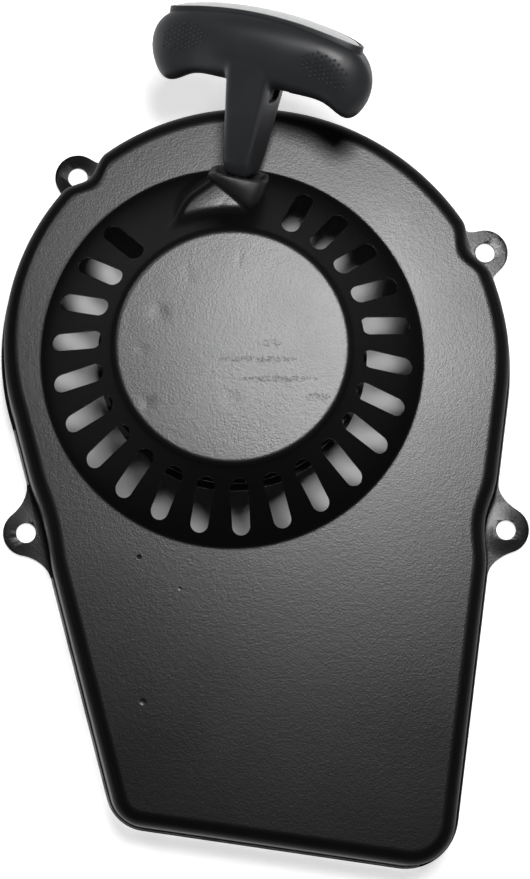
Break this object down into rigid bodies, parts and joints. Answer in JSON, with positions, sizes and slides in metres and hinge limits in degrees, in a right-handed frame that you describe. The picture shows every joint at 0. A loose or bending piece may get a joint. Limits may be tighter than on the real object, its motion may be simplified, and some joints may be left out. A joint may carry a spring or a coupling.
{
  "type": "recoil starter",
  "caption": "Pull-cord recoil starter for a small engine: a pressed steel volute cover with a slotted cone, a spring-return rope reel, ratchet pawls and a T handle.",
  "frame": {"origin": "on the crank and reel axis, on the plane of the four mounting ears' rear faces, at the end face of the centre bolt's head", "axes": "+Z runs along the reel axis out of the face, +Y runs towards the handle's end of the cover, +X to the right seen from the front"},
  "size_m": [0.1755, 0.274, 0.0777],
  "materials": {
    "black_paint": "satin black paint with a fine orange peel over pressed steel",
    "black_plastic": "moulded black plastic",
    "grip_plastic": "matt charcoal moulded plastic",
    "grey_plastic": "smooth light grey plastic",
    "reel_nylon": "glass-filled black nylon",
    "zinc_steel": "bright zinc plate",
    "spring_steel": "blued spring steel, oiled",
    "bronze": "sintered bronze",
    "rope_white": "braided off-white polyester"
  },
  "bodies": {
    "housing": {"housing": "black_paint", "center_post": "zinc_steel", "rope_guide": "black_plastic", "recoil_spring": "spring_steel", "rope_lead": "rope_white", "center_bolt": "zinc_steel", "bolt_washer": "zinc_steel"},
    "reel": {"reel": "reel_nylon", "reel_bush": "bronze", "rope_winding": "rope_white", "rope_knot_reel": "rope_white", "spring_cover": "zinc_steel", "pawl_spring_1": "spring_steel", "pawl_spring_2": "spring_steel"},
    "friction_plate": {"friction_plate": "zinc_steel", "friction_spring": "spring_steel"},
    "pawl_1": {"pawl_1": "zinc_steel"},
    "pawl_2": {"pawl_2": "zinc_steel"},
    "handle": {"handle_grip": "grip_plastic", "handle_insert": "grey_plastic", "handle_washer": "zinc_steel", "rope_knot_handle": "rope_white"}
  },
  "joints": [
    {"name": "reel_spin", "type": "hinge", "parent": "housing", "child": "reel", "pos_m": [0, 0, 0], "axis": [0, 0, -1], "range_deg": [0, 1350], "stiffness_Nm_per_rad": 0.012, "springref_deg": -1145.92, "deforming": ["recoil_spring"]},
    {"name": "handle_pull", "type": "slide", "parent": "housing", "child": "handle", "axis": [0.154, 0.8931, 0.4226], "range_m": [0, 0.825], "deforming": ["rope_lead"]},
    {"name": "friction_lag", "type": "hinge", "parent": "reel", "child": "friction_plate", "pos_m": [0, 0, 0.0072], "axis": [0, 0, 1], "range_deg": [0, 30], "stiffness_Nm_per_rad": 0.02, "springref_deg": -17.19},
    {"name": "pawl_1_swing", "type": "hinge", "parent": "reel", "child": "pawl_1", "pos_m": [0.018, 0, 0.0083], "axis": [0, 0, 1], "range_deg": [0, 40], "deforming": ["pawl_spring_1"]},
    {"name": "pawl_2_swing", "type": "hinge", "parent": "reel", "child": "pawl_2", "pos_m": [-0.018, 0, 0.0083], "axis": [0, 0, 1], "range_deg": [0, 40], "deforming": ["pawl_spring_2"]}
  ],
  "couplings": [
    {"joint": "handle_pull", "follows": "reel_spin", "m_per_rad": 0.035},
    {"joint": "pawl_1_swing", "follows": "friction_lag", "ratio": 1.3333},
    {"joint": "pawl_2_swing", "follows": "friction_lag", "ratio": 1.3333}
  ]
}
